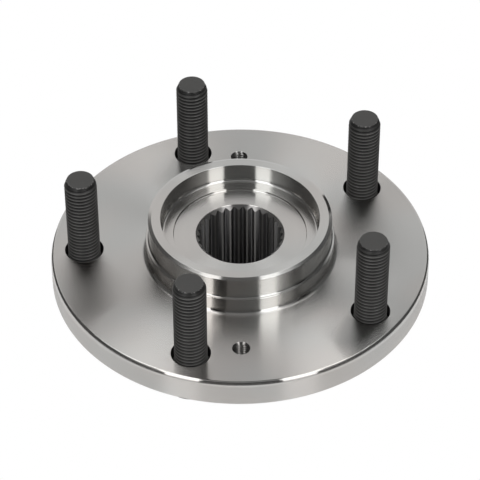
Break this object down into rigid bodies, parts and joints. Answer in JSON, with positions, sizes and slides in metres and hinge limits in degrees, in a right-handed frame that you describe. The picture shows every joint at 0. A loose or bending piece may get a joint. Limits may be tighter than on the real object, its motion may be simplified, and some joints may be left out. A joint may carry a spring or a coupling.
{
  "type": "wheel hub",
  "caption": "Driven wheel hub: round flange with pressed-in studs, stepped pilot ring, splined axle bore and a ground spigot for a wheel bearing.",
  "frame": {"origin": "on the hub's axis, in the face of the flange that the brake disc and the wheel seat on", "axes": "+Z along the hub's axis, outwards to the wheel; -X points to one of the five studs"},
  "size_m": [0.1386, 0.1386, 0.0905],
  "materials": {
    "hub_steel": "turned and ground bare steel",
    "stud_oxide": "black oxide, slightly oily"
  },
  "bodies": {
    "root": {"hub": "hub_steel", "wheel_stud_1": "stud_oxide", "wheel_stud_2": "stud_oxide", "wheel_stud_3": "stud_oxide", "wheel_stud_4": "stud_oxide", "wheel_stud_5": "stud_oxide"}
  },
  "joints": []
}
